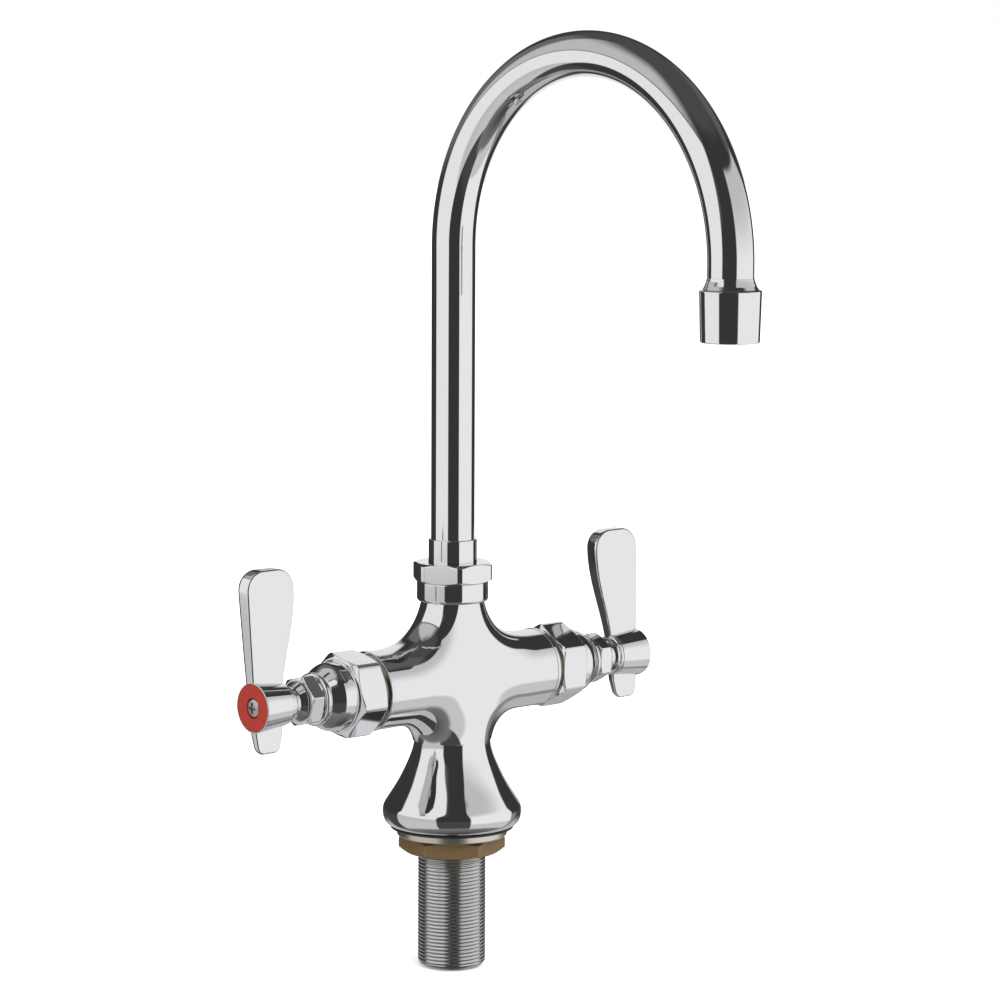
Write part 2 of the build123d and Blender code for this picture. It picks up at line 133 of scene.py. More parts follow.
def ringLine(inner, outer, low, high, rounds=(0, 0, 0)):
    # A closed rectangle of radius and height; the roundings go outside low, outside high, inside high
    return softLine([(inner, low, 0), (outer, low, rounds[0]), (outer, high, rounds[1]),
                     (inner, high, rounds[2]), (inner, low, 0)])


def splineLine(points, startSlope, endSlope, count):
    # A cubic line through the points, by chord length, with given directions at both ends
    points = np.array(points, float)
    knots = np.concatenate([[0], np.cumsum(np.hypot(*np.diff(points, axis=0).T))])
    steps = np.diff(knots)
    size = len(points)
    matrix, right = np.zeros((size, size)), np.zeros((size, 2))
    matrix[0, 0] = matrix[-1, -1] = 1
    right[0] = np.array(startSlope) / np.hypot(*startSlope)
    right[-1] = np.array(endSlope) / np.hypot(*endSlope)
    for i in range(1, size - 1):
        matrix[i, i - 1:i + 2] = steps[i], 2 * (steps[i] + steps[i - 1]), steps[i - 1]
        before = (points[i] - points[i - 1]) / steps[i - 1]
        after = (points[i + 1] - points[i]) / steps[i]
        right[i] = 3 * (steps[i] * before + steps[i - 1] * after)
    slopes = np.linalg.solve(matrix, right)
    place = np.linspace(0, knots[-1], count)
    i = np.clip(np.searchsorted(knots, place, "right") - 1, 0, size - 2)
    width = steps[i][:, None]
    s = (place - knots[i])[:, None] / width
    return ((2 * s**3 - 3 * s**2 + 1) * points[i] + (s**3 - 2 * s**2 + s) * width * slopes[i]
            + (3 * s**2 - 2 * s**3) * points[i + 1] + (s**3 - s**2) * width * slopes[i + 1])


def aroundAxis(radius, angle, height):
    # Points at a radius, an angle and a height about the upright axis, spread over rows and columns
    radius, angle, height = np.broadcast_arrays(radius, angle, height)
    return np.stack([radius * np.cos(angle), radius * np.sin(angle), height], -1)


def turnedSheet(line, segments=160):
    # A line of radius and height carried round the upright axis
    angle = np.linspace(0, 2 * pi, segments + 1)[None, :]
    return aroundAxis(line[:, :1], angle, line[:, 1:])


def onArm(sheet, side):
    # Turns an upright shape so that its axis runs out along the arm on that side
    x, y, z = sheet[..., 0], sheet[..., 1], sheet[..., 2]
    return np.stack([side * z, x, armHeight + y], -1)


def soften(low, high, value):
    # A smooth step from nothing to one between two values
    share = np.clip((value - low) / (high - low), 0, 1)
    return share * share * (3 - 2 * share)


def softMin(a, b, width):
    # The smaller of two values, with the corner between them rounded over a width
    share = np.clip(0.5 + 0.5 * (b - a) / width, 0, 1)
    return b + (a - b) * share - width * share * (1 - share)


def hexSheets(corner, low, high, turn, bore, cornerRound=0.35, bar=None, rows=44):
    # Radius = softened smallest of a hexagon by angle, the round bar it is cut from and a turned chamfer
    # by height, less a small rounding at both faces; then flat rings in to the bore
    perSide, ringRows = 26, 5
    faceShare = 0.985  # the face's circle over the flats
    chamferShare = 0.5  # the chamfer's height over its depth
    edgeRound, barRound, chamferRound = 0.3, 0.15, 0.25
    flat = corner * np.cos(pi / 6)
    drop = (corner - flat) * chamferShare
    share = np.sin(np.linspace(-1, 1, perSide + 1) * pi / 2)[:-1] * pi / 6
    middles = np.radians(turn + 30 + 60 * np.arange(6))
    angle = (middles[:, None] + share[None, :]).ravel()
    angle = np.append(angle, angle[0] + 2 * pi)
    offset = np.append(np.tile(share, 6), share[0])
    sideA = flat / np.cos(offset)
    sideB = flat / np.cos(pi / 3 - np.abs(offset))
    outline = softMin(sideA, sideB, cornerRound)[None, :]
    if bar:
        outline = softMin(outline, bar, barRound)
    rise = np.sin(np.linspace(-1, 1, rows + 1) * pi / 2)[:, None]
    height = 0.5 * (low + high) + 0.5 * (high - low) * rise
    depth = np.minimum(height - low, high - height)
    turned = flat * faceShare + (corner - flat) * depth / drop
    inside = np.clip(edgeRound - depth, 0, edgeRound)
    rounding = edgeRound - np.sqrt(edgeRound**2 - inside**2)
    radius = softMin(outline, turned, chamferRound) - rounding
    sheets = [aroundAxis(radius, angle, height)]
    rings = np.linspace(0, 1, ringRows)[:, None]
    for row, level in ((0, low), (-1, high)):
        sheets.append(aroundAxis(radius[row] * (1 - rings) + bore * rings, angle, level))
    if bore > 0:
        sheets.append(aroundAxis(bore, angle, np.array([low, high])[:, None]))
    return sheets


# Materials

def mathNode(nodes, operation):
    # A maths node of the given kind
    node = nodes.new("ShaderNodeMath")
    node.operation = operation
    return node


def newMaterial(name, keepShader=True):
    # A material with its nodes and links at hand; the Principled shader goes where another takes its place
    material = bpy.data.materials.new(name)
    material.use_nodes = True
    nodes, links = material.node_tree.nodes, material.node_tree.links
    if not keepShader:
        nodes.remove(nodes["Principled BSDF"])
    return material, nodes, links


def grainGroup():
    # Fine noise: puts out a roughness that varies about a middle value and a slightly uneven normal
    group = bpy.data.node_groups.new("fineGrain", "ShaderNodeTree")
    for name, value in (("Scale", 400.0), ("Middle", 0.3), ("Spread", 0.05), ("Height", 0.02)):
        socket = group.interface.new_socket(name=name, in_out="INPUT", socket_type="NodeSocketFloat")
        socket.default_value = value
    group.interface.new_socket(name="Roughness", in_out="OUTPUT", socket_type="NodeSocketFloat")
    group.interface.new_socket(name="Normal", in_out="OUTPUT", socket_type="NodeSocketVector")
    nodes, links = group.nodes, group.links
    given, out = nodes.new("NodeGroupInput"), nodes.new("NodeGroupOutput")
    place = nodes.new("ShaderNodeTexCoord")
    noise = nodes.new("ShaderNodeTexNoise")
    noise.inputs["Detail"].default_value = 3.0
    centred = mathNode(nodes, "SUBTRACT")
    centred.inputs[1].default_value = 0.5  # the noise's middle value
    scaled = mathNode(nodes, "MULTIPLY_ADD")
    bump = nodes.new("ShaderNodeBump")
    bump.inputs["Distance"].default_value = 0.0004
    links.new(place.outputs["Object"], noise.inputs["Vector"])
    links.new(given.outputs["Scale"], noise.inputs["Scale"])
    links.new(noise.outputs["Fac"], centred.inputs[0])
    links.new(centred.outputs[0], scaled.inputs[0])
    links.new(given.outputs["Spread"], scaled.inputs[1])
    links.new(given.outputs["Middle"], scaled.inputs[2])
    links.new(noise.outputs["Fac"], bump.inputs["Height"])
    links.new(given.outputs["Height"], bump.inputs["Strength"])
    links.new(scaled.outputs[0], out.inputs["Roughness"])
    links.new(bump.outputs["Normal"], out.inputs["Normal"])
    return group


fineGrain = grainGroup()


def finish(name, colour, metallic, roughness, grain, specular=0.5):
    # Principled surface with fine grain, given as its scale, its spread of roughness and its height
    material, nodes, links = newMaterial(name)
    shader = nodes["Principled BSDF"]
    shader.inputs["Base Color"].default_value = (*colour, 1)
    shader.inputs["Metallic"].default_value = metallic
    shader.inputs["Roughness"].default_value = roughness
    shader.inputs["Specular IOR Level"].default_value = specular
    texture = nodes.new("ShaderNodeGroup")
    texture.node_tree = fineGrain
    for socket, value in zip(("Scale", "Middle", "Spread", "Height"), (grain[0], roughness, *grain[1:])):
        texture.inputs[socket].default_value = value
    links.new(texture.outputs["Roughness"], shader.inputs["Roughness"])
    if grain[2] > 0:
        links.new(texture.outputs["Normal"], shader.inputs["Normal"])
    return material


# By material slot: name, colour, metallic, roughness, grain
looks = {
    "chrome": finish("polishedChrome", (0.80, 0.81, 0.82), 1.0, 0.045, (90.0, 0.02, 0.0)),
    "seal_rubber": finish("blackRubber", (0.018, 0.018, 0.019), 0.0, 0.55, (900.0, 0.1, 0.1)),
    "shank_steel": finish("turnedSteel", (0.57, 0.575, 0.57), 1.0, 0.22, (60.0, 0.02, 0.0)),
    "washer_steel": finish("paleSteel", (0.74, 0.70, 0.62), 1.0, 0.32, (500.0, 0.1, 0.08)),
    "nut_brass": finish("dullBrass", (0.27, 0.17, 0.08), 0.5, 0.5, (350.0, 0.12, 0.15)),
    "spindle_brass": finish("machinedBrass", (0.62, 0.43, 0.18), 1.0, 0.3, (500.0, 0.1, 0.05)),
    "fine_steel": finish("screwSteel", (0.52, 0.51, 0.50), 1.0, 0.3, (600.0, 0.1, 0.05)),
    "disc_ceramic": finish("whiteCeramic", (0.85, 0.84, 0.80), 0.0, 0.2, (300.0, 0.05, 0.0)),
    "white_plastic": finish("whitePlastic", (0.80, 0.80, 0.78), 0.0, 0.45, (300.0, 0.1, 0.02)),
    "red_plastic": finish("redIndex", (0.43, 0.028, 0.014), 0.0, 0.42, (500.0, 0.1, 0.03), specular=0.35),
    "blue_plastic": finish("blueIndex", (0.015, 0.06, 0.36), 0.0, 0.4, (500.0, 0.1, 0.03)),
}
# The washers under the bonnets get a darker, browner steel (0.34 against 0.74) than the lock washer under
# the deck
darkBonnetWasher = finish("darkBonnetWasher", (0.34, 0.30, 0.25), 1.0, 0.32, (500.0, 0.1, 0.05))
for part in frame["record"]["subparts"]:
    isBonnetWasher = part["node"].endswith("bonnet_washer")
    cadMesh = frame["nodes"][part["node"]].data
    cadMesh.materials.clear()
    cadMesh.materials.append(darkBonnetWasher if isBonnetWasher else looks[part["material_slot"]])
print("materials made")


# Casting: bell, cross arms and neck with rolled blends

casting = {
    "armRadius": 16.1, "armEnd": 46.5, "armBore": 12.5, "armFloor": 40.0, "armChamfer": 1.2,
    "rimWidth": 1.6, "rimProud": 0.25, "rimRound": 0.3, "rimBack": 0.01,
    "columnRadius": 15.8, "neckRadius": 12.2, "mixHeight": 12.0,
    "upperWidth": 25.0, "lowerWidth": 15.0, "leastWidth": 2.0,  # of the blends
    "collarRadius": 14.8, "collarLow": 94.6, "collarHigh": 103.0,
    "collarLowRound": 1.6, "collarHighRound": 0.5,
    "bellFlank": [(15.8, 37.0), (18.2, 27.9), (22.2, 19.5), (27.4, 11.1)],
    "bellLip": [(28.49, 8.9), (28.69, 6.9), (28.45, 4.7), (27.7, 2.9), (26.5, 1.65), (25.2, 1.0)],
    "flankTop": 37.0, "footLevel": 1.0, "footSlope": (-1, -0.35), "socketRadius": 14.1, "socketTop": 16.0,
    "overlap": 1.0, "neckOverlap": 4.0,  # lengths that run on inside a neighbour
}


def bellLine(c):
    # One smooth line from the column's straight wall down the flank and round the lip to the flat foot
    points, wallGap = 320, 0.1
    wall = np.array([(c["columnRadius"], armHeight), (c["columnRadius"], c["flankTop"] + wallGap)])
    return np.concatenate([wall, splineLine(c["bellFlank"] + c["bellLip"], (0, -1), c["footSlope"], points)])


def castingSheets(c):
    # Arm and upright are joined by a softened smaller distance: its width grows with the sine squared of
    # the angle between the two walls, so crossing walls get a wide blend and parallel ones hardly any.
    # Each limb is a grid of rays square to its axis, from the seam between the limbs outward.
    line = bellLine(c) - np.array([0, armHeight])
    flank = line[::-1]

    def field(p):
        # Less than nothing inside the metal: the softened smaller distance to the arm and the upright
        x, y, z = p[..., 0], p[..., 1], p[..., 2]
        aboutArm, aboutPost = np.hypot(y, z), np.hypot(x, y)
        upper = soften(-c["mixHeight"], c["mixHeight"], z)
        radius = np.interp(z, flank[:, 1], flank[:, 0]) * (1 - upper) + c["neckRadius"] * upper
        crossing = 1 - (y * y / (aboutArm * aboutPost + 1e-9))**2
        width = c["leastWidth"] + (c["lowerWidth"] + (c["upperWidth"] - c["lowerWidth"]) * upper) * crossing
        return softMin(aboutArm - c["armRadius"], aboutPost - radius, width)

    def surface(start, ray):
        # Halving between inside and outside along each ray
        nearest, farthest, halvings = 6.0, 60.0, 36
        low, high = np.full(ray.shape[:-1], nearest), np.full(ray.shape[:-1], farthest)
        for _ in range(halvings):
            middle = 0.5 * (low + high)
            inside = field(start + ray * middle[..., None]) < 0
            low, high = np.where(inside, middle, low), np.where(inside, high, middle)
        return start + ray * high[..., None]

    def square(points, keep):
        # Directions square to an axis: the points with that axis left out, at a length of one
        flat = points * np.array(keep)
        return flat / np.linalg.norm(flat, axis=-1, keepdims=True)

    def rows(across, axis, places):
        # One row for each (radius, place): that far out square to the axis, at that place along it
        return [(across * radius + np.array(axis) * place)[None] for radius, place in places]

    rowCount, columns, lineStep, lineGap = 46, 121, 2, 0.1
    share = np.linspace(0, 1, rowCount)[:, None]
    turn = np.linspace(0, pi, columns)
    sheets = []
    for up in (1, -1):
        ray = np.stack([np.sin(turn) / 2**0.5, -np.cos(turn), up * np.sin(turn) / 2**0.5], -1)
        seam = surface(0 * ray, ray)
        across = square(seam, (0, 1, 1))
        x = seam[:, 0] + (c["armEnd"] - seam[:, 0]) * share
        run = surface(x[..., None] * np.array([1.0, 0, 0]), np.broadcast_to(across, (*x.shape, 3)))
        ends = rows(across, (1.0, 0, 0), [
            (c["armRadius"] - c["armChamfer"], c["armEnd"]), (c["armBore"], c["armEnd"]),
            (c["armBore"], c["armFloor"]), (0.0, c["armFloor"])])
        sheets.append(np.concatenate([run] + ends))
        across = square(seam, (1, 1, 0))
        stop = (c["collarLow"] + c["neckOverlap"] if up > 0 else c["flankTop"]) - armHeight
        z = seam[:, 2] + (stop - seam[:, 2]) * share
        column = surface(z[..., None] * np.array([0, 0, 1.0]), np.broadcast_to(across, (*z.shape, 3)))
        if up > 0:
            places = [(0.0, stop)]
        else:
            foot, top = c["footLevel"] - armHeight, c["socketTop"] - armHeight
            places = [*line[line[:, 1] < stop - lineGap][::lineStep], line[-1],
                      (c["socketRadius"], foot), (c["socketRadius"], top), (0.0, top)]
        sheets.append(np.concatenate([column] + rows(across, (0, 0, 1.0), places)))
    return [sheet * np.array([side, 1, 1]) + np.array([0, 0, armHeight])
            for sheet in sheets for side in (1, -1)]


def castingPiece(c):
    # The blended limbs, a turned collar under the spout's nut and a turned rim at each arm's end
    sheets = castingSheets(c)
    collar = softLine([
        (0, c["collarLow"], 0), (c["collarRadius"], c["collarLow"], c["collarLowRound"]),
        (c["collarRadius"], c["collarHigh"], c["collarHighRound"]), (0, c["collarHigh"], 0)])
    sheets.append(turnedSheet(collar))
    hidden, proud = c["armBore"] + c["overlap"], c["armRadius"] + c["rimProud"]
    inner = c["armEnd"] - c["rimWidth"]
    rim = softLine([(hidden, inner, 0), (proud, inner, c["rimRound"]), (proud, c["armEnd"], c["rimRound"]),
                    (hidden, c["armEnd"] - c["rimBack"], 0)])
    for side in (1, -1):
        sheets.append(onArm(turnedSheet(np.concatenate([rim, rim[:1]])), side))
    makePiece("castingSkin", sheets, "casting", "body_casting", "chrome")


castingPiece(casting)
print("casting made")


# Deck stack: threaded shank, gasket, washer and lock nut

deckStack = {
    "shankRadius": 14.0, "shankBore": 11.5, "shankLow": -58.5, "shankHigh": 16.0,
    "pitch": 1.5, "threadDepth": 0.34, "taperDepth": 1.9, "taperLength": 2.6, "taperBow": 1.6,
    "gasketRadius": 25.5, "gasketBore": 14.1, "gasketTop": 1.0, "lipInner": 23.6, "lipDrop": 0.2,
    "gasketRound": 0.25, "lipRound": 0.1,
    "washerRadius": 22.8, "washerLow": -3.2, "washerTop": 0.2, "washerGap": 0.4,
    "washerRounds": (0.6, 0.35, 0),
    "nutCorner": 22.2, "nutHeight": 7.0, "nutTurn": 18.4, "nutGap": 0.08, "nutRound": 0.5,
}


def shankPiece(d):
    # Radius = crest less a rounded wave, capped by the end's taper; each row climbs one pitch a turn,
    # so it keeps its place on the thread
    columns = 144
    angle = np.linspace(0, 2 * pi, columns + 1)[None, :]
    climb = d["pitch"] * angle / (2 * pi)
    step = 0.1 * d["pitch"]
    height = np.arange(d["shankLow"] - d["pitch"], d["shankHigh"] + step, step)[:, None] + climb
    height = np.clip(height, d["shankLow"], d["shankHigh"])
    wave = ((height - climb) / d["pitch"]) % 1.0
    radius = d["shankRadius"] - d["threadDepth"] * soften(0, 1, np.abs(2 * wave - 1))
    fromEnd = np.clip((height - d["shankLow"]) / d["taperLength"], 0, 1)
    radius = np.minimum(radius, d["shankRadius"] - d["taperDepth"] * (1 - fromEnd)**d["taperBow"])
    outside = aroundAxis(radius, angle, height)
    ends = np.array([(d["shankBore"], d["shankLow"]), (d["shankBore"], d["shankHigh"])])
    bore = turnedSheet(ends, columns)
    sheets = [outside, bore] + [np.stack([outside[row], bore[row]]) for row in (0, -1)]
    makePiece("threadedShank", sheets, "casting", "mounting_shank", "shank_steel", sharpAngle=75)


def deckPieces(d):
    # The shank, then a turned gasket with a lip on the deck, a turned washer and a hexagon nut
    shankPiece(d)
    bore, lip = d["gasketBore"], d["lipInner"]
    gasket = softLine([
        (bore, d["lipDrop"], 0), (lip, d["lipDrop"], d["lipRound"]), (lip, 0, 0),
        (d["gasketRadius"], 0, d["gasketRound"]), (d["gasketRadius"], d["gasketTop"], d["gasketRound"]),
        (bore, d["gasketTop"], 0), (bore, d["lipDrop"], 0)])
    makePiece("footGasket", [turnedSheet(gasket)], "casting", "base_gasket", "seal_rubber")
    washer = ringLine(d["shankRadius"] + d["washerGap"], d["washerRadius"], d["washerLow"], d["washerTop"],
                      d["washerRounds"])
    makePiece("flatWasher", [turnedSheet(washer)], "washer", "lock_washer", "washer_steel")
    nut = hexSheets(d["nutCorner"], d["washerLow"] - d["nutHeight"], d["washerLow"], d["nutTurn"],
                    d["shankRadius"] + d["nutGap"], d["nutRound"])
    makePiece("brassNut", nut, "nut", "lock_nut", "nut_brass")


deckPieces(deckStack)
print("deck stack made")


# Swivel spout: nut, sleeve, bent tube and outlet

spout = {
    "tubeRadius": 9.0, "bendStart": 240.4, "bendRadius": 78.5, "legDrop": 29.2,
    "footHidden": 15.0, "tipHidden": 12.0,  # lengths of tube inside the sleeve and the outlet
    "sleeveRadius": 10.0, "sleeveLow": 100.0, "sleeveTop": 120.5, "sleeveRound": 0.45,
    "sleeveLip": 0.3, "sleeveDish": 1.0,  # how far the sleeve's top goes into the tube, across and down
    "nutCorner": 17.5, "nutBar": 16.9, "nutLow": casting["collarHigh"], "nutHeight": 8.0, "nutGap": 0.15,
    "collarLength": 19.8, "outletLow": 11.4, "outletHigh": 12.0, "outletBore": 9.9, "boreDepth": 8.0,
    "holeRadius": 8.0, "topRound": 0.55, "lowRound": 0.5, "boreRound": 0.3,
    # Brazed flare from the tube down to the collar: radius, rise above the collar, rounding
    "flare": [(8.9, 4.7, 0), (9.0, 4.6, 0), (9.3, 3.4, 2.0), (10.0, 1.6, 2.5), (10.9, 0.05, 0.7)],
}


def tubeSheet(s, low, tip):
    # A circle carried up the leg, round the half bend and down to the outlet, always square to the path
    legRows, bendRows, dropRows, columns = 30, 161, 12, 96
    leg = np.linspace(low, s["bendStart"], legRows)
    turn = np.linspace(0, pi, bendRows)[1:-1]
    drop = np.linspace(s["bendStart"], tip, dropRows)
    y = np.concatenate([0 * leg, -s["bendRadius"] * (1 - np.cos(turn)), 0 * drop - 2 * s["bendRadius"]])
    z = np.concatenate([leg, s["bendStart"] + s["bendRadius"] * np.sin(turn), drop])
    lean = np.concatenate([0 * leg, turn, 0 * drop + pi])[:, None]
    angle = np.linspace(0, 2 * pi, columns + 1)[None, :]
    across = s["tubeRadius"] * np.sin(angle)
    return np.stack([s["tubeRadius"] * np.cos(angle) + 0 * lean, y[:, None] + across * np.cos(lean),
                     z[:, None] + across * np.sin(lean)], -1)


def spoutPieces(s):
    # The bent tube with flat ends, a turned sleeve at its foot, a hexagon nut cut from a round bar, and
    # a turned outlet collar with a flare above, moved out to the tube's end
    outletFace = s["bendStart"] - s["legDrop"]
    tube = tubeSheet(s, s["sleeveTop"] - s["footHidden"], outletFace + s["tipHidden"])
    caps = [np.stack([row, np.broadcast_to(row[:-1].mean(0), row.shape)]) for row in (tube[0], tube[-1])]
    makePiece("bentTube", [tube] + caps, "spout", "spout_tube", "chrome")
    radius, top = s["sleeveRadius"], s["sleeveTop"]
    sleeve = softLine([
        (0, s["sleeveLow"], 0), (radius, s["sleeveLow"], 0), (radius, top, s["sleeveRound"]),
        (s["tubeRadius"] - s["sleeveLip"], top, 0), (0, top - s["sleeveDish"], 0)])
    makePiece("tubeSleeve", [turnedSheet(sleeve)], "spout", "spout_sleeve", "chrome")
    nut = hexSheets(s["nutCorner"], s["nutLow"], s["nutLow"] + s["nutHeight"], 0,
                    s["sleeveRadius"] + s["nutGap"], bar=s["nutBar"])
    makePiece("spoutNut", nut, "casting", "spout_nut", "chrome")
    top, seat, hole = outletFace + s["collarLength"], outletFace + s["boreDepth"], s["holeRadius"]
    outlet = softLine(lifted(s["flare"], top) + [
        (s["outletHigh"], top, s["topRound"]), (s["outletLow"], outletFace, s["lowRound"]),
        (s["outletBore"], outletFace, s["boreRound"]), (s["outletBore"], seat, 0), (hole, seat, 0)])
    lipRadius, lipRise = s["flare"][0][:2]
    inside = np.array([(hole, seat), (hole, top + lipRise), (lipRadius, top + lipRise)])
    sheets = [turnedSheet(line) + np.array([0, -2 * s["bendRadius"], 0]) for line in (outlet, inside)]
    makePiece("outletCollar", sheets, "spout", "outlet_collar", "chrome")


spoutPieces(spout)
print("spout made")


# Valve sides: bonnet, gland nut, stem sleeve, lever, index disc and screw

valveSide = {
    # By side, cold then hot: start of the nodes' names, the lever's body, the index disc's slot
    "names": {1: ("cold_", "cold_lever", "blue_plastic"), -1: ("hot_", "hot_lever", "red_plastic")},
    "hexCorner": 18.1, "hexLow": 48.7, "hexHigh": 62.1, "hexRound": 1.8, "hexTurn": {1: 30.0, -1: 12.0},
    # Dome from inside the hexagon to its neck: radius, rise above the hexagon, rounding
    "dome": [(0, -4.0, 0), (14.6, -4.0, 0), (14.6, 0.6, 0.25), (14.1, 0.8, 0), (14.0, 6.0, 8.0),
             (10.2, 10.6, 3.0), (9.3, 11.0, 0.4)],
    "flangeRadius": 10.8, "flangeLow": 73.2, "flangeEnd": 75.3, "flangeRound": 0.95, "flangeFace": 8.4,
    "glandCorner": 10.8, "glandLow": 76.2, "glandHigh": 82.6, "glandBore": 4.1, "glandSeat": 8.6,
    "glandTurn": {1: 30.0, -1: 46.0}, "overlap": 1.0,
    "stemRadius": 6.6, "stemGap": 0.3,
    # Stem's cone at the gland and its flare at the hub: radius and height from those ends, rounding
    "stemCone": [(1.9, 0, 0.3), (-0.2, 3.0, 1.0)],
    "stemFlare": [(-0.2, -3.4, 1.0), (0.9, -2.0, 0.8), (0.9, -1.2, 0.5), (1.7, -0.8, 0.4), (1.7, 0.5, 0)],
    "hubRear": 90.5, "hubFront": 105.2, "hubRearRadius": 8.5, "hubFrontRadius": 10.15,
    "hubRearRound": 0.8, "hubFrontRound": 0.35, "socketRound": 0.1, "socketGap": 0.08,
    "indexRadius": 9.5, "indexThickness": 1.5, "indexBack": 0.05, "indexRounds": (0, 0.25, 0.2),
    "screwRadius": 4.0, "screwHeight": 1.9, "screwFall": 0.12, "indexGap": 0.05,
    "slotHalfWidth": 0.62, "slotReach": 2.3, "slotDepth": 1.5, "slotSlope": 0.2, "slotEndSlope": 0.5,
}


def bonnetPiece(v, side):
    # A rounded hexagon with a turned dome and flange in front of it; then the gland nut on its round seat
    prefix = v["names"][side][0]
    bonnet = hexSheets(v["hexCorner"], v["hexLow"], v["hexHigh"], v["hexTurn"][side], 0.0, v["hexRound"])
    radius, rounding = v["flangeRadius"], v["flangeRound"]
    dome = softLine(lifted(v["dome"], v["hexHigh"]) + [
        (radius, v["flangeLow"], rounding), (radius, v["flangeEnd"], rounding),
        (v["flangeFace"], v["flangeEnd"], 0), (0, v["flangeEnd"], 0)])
    bonnet.append(turnedSheet(dome))
    gland = hexSheets(v["glandCorner"], v["glandLow"], v["glandHigh"], v["glandTurn"][side],
                      v["glandBore"], rows=30)
    low, high = v["flangeEnd"] - v["overlap"], v["glandLow"] + v["overlap"]
    gland.append(turnedSheet(ringLine(v["glandBore"], v["glandSeat"], low, high)))
    for name, node, sheets in (("bonnetSkin", "bonnet", bonnet), ("glandSkin", "gland_nut", gland)):
        sheets = [onArm(sheet, side) for sheet in sheets]
        makePiece(prefix + name, sheets, "casting", prefix + node, "chrome")


blade = {
    # Edges, tail to tip, as distance out along the arm and height
    "innerEdge": [(91.0, 51.0), (90.2, 70.0), (85.1, 91.0), (82.9, 106.5)],
    "outerEdge": [(104.9, 51.0), (106.7, 106.5)],
    "bottom": 43.0, "tailInner": 93.0, "tailOuter": 103.6, "tailRound": 3.4,
    "top": 116.0, "tipInner": 82.9, "tipOuter": 106.9, "tipRound": 8.2,
    # Front and back faces at the tail and the tip, and how far the back bows out half way up
    "frontLow": -2.4, "frontHigh": 1.7, "backLow": 1.6, "backHigh": 8.8, "bow": 0.9,
    "frontRound": 0.9, "backRound": 2.6, "pocketRadius": 9.6, "pocketFloor": 103.4,
}


def bladeSheets(b, side):
    # Outline from two smooth lines, tail to tip; a rounded edge to the front and the back face,
    # whose places lean with height; faces are straight ladders across the outline
    edgePoints, count, roundRows, wallRows, faceRows = 90, 220, 9, 6, 16
    middle = 0.5 * (b["tailInner"] + b["tailOuter"])
    crown = 0.5 * (b["tipInner"] + b["tipOuter"])
    overrun = b["tipRound"] / (b["top"] - b["bottom"])

    def edgeLine(run, tail, tip):
        # The tail's rounded corner, the run up the edge and the tip's rounded corner, at even distances
        bottom, top = b["bottom"], b["top"]
        low = softLine([(middle, bottom, 0), (tail, bottom, b["tailRound"]), (*run[0], 0)], steps=12)
        high = softLine([(*run[-1], 0), (tip, top, b["tipRound"]), (crown, top, 0)], steps=24)
        line = np.concatenate([low[:-1], run, high[1:]])
        length = np.concatenate([[0], np.cumsum(np.hypot(*np.diff(line, axis=0).T))])
        place = np.linspace(0, length[-1], count)
        return np.stack([np.interp(place, length, line[:, 0]), np.interp(place, length, line[:, 1])], -1)

    def frontAt(z):
        # Straight, from a little below the tail to a little above the tip
        s = (z - b["bottom"]) / (b["top"] - b["bottom"])
        return b["frontLow"] + (b["frontHigh"] - b["frontLow"]) * (s + overrun) / (1 + 2 * overrun)

    def backAt(z):
        # A straight line and a shallow bow, highest half way up
        s = (z - b["bottom"]) / (b["top"] - b["bottom"])
        bow = b["bow"] * (1 - ((2 * s - 1) / (1 + 2 * overrun))**2)
        return b["backLow"] + (b["backHigh"] - b["backLow"]) * s + bow

    innerRun = splineLine(b["innerEdge"], (0, 1), (0, 1), edgePoints)
    outerRun = np.linspace(*b["outerEdge"], edgePoints)
    inner = edgeLine(innerRun, b["tailInner"], b["tipInner"])
    outer = edgeLine(outerRun, b["tailOuter"], b["tipOuter"])
    outline = np.concatenate([inner, outer[-2:0:-1]])
    slope = np.roll(outline, -1, 0) - np.roll(outline, 1, 0)
    slope /= np.hypot(*slope.T)[:, None]
    inward = np.stack([slope[:, 1], -slope[:, 0]], -1)
    rings = []
    for rounding, sign, faceAt in ((b["backRound"], 1, backAt), (b["frontRound"], -1, frontAt)):
        turn = np.linspace(0, pi / 2, roundRows)[::-sign]
        inset = rounding * (1 - np.cos(turn))[:, None, None] * inward[None]
        flat = outline[None] + inset
        y = faceAt(flat[..., 1]) - sign * rounding * (1 - np.sin(turn))[:, None]
        rings.append(np.stack([flat[..., 0], y, flat[..., 1]], -1))
    back, front = rings
    between = np.linspace(0, 1, wallRows)[1:-1, None, None]
    wall = back[-1] * (1 - between) + front[0] * between
    skin = np.concatenate([back, wall, front])
    sheets = [np.concatenate([skin, skin[:, :1]], 1)]
    for ring, faceAt in ((back[0], backAt), (front[-1], frontAt)):
        first = ring[:count]
        second = np.concatenate([ring[:1], ring[:count - 1:-1], ring[count - 1:count]])
        share = np.linspace(0, 1, faceRows)[:, None, None]
        face = first[None] * (1 - share) + second[None] * share
        face[1:-1, :, 1] = faceAt(face[1:-1, :, 2])
        face[:, 0], face[:, -1] = face[0, 0], face[0, -1]
        sheets.append(face)
    for sheet in sheets:  # pressed in where the index disc sits
        pocket = sheet[..., 1]**2 + (sheet[..., 2] - armHeight)**2 < b["pocketRadius"]**2
        sheet[..., 0] = np.where(pocket, np.minimum(sheet[..., 0], b["pocketFloor"]), sheet[..., 0])
    return [sheet * np.array([side, 1, 1]) for sheet in sheets]


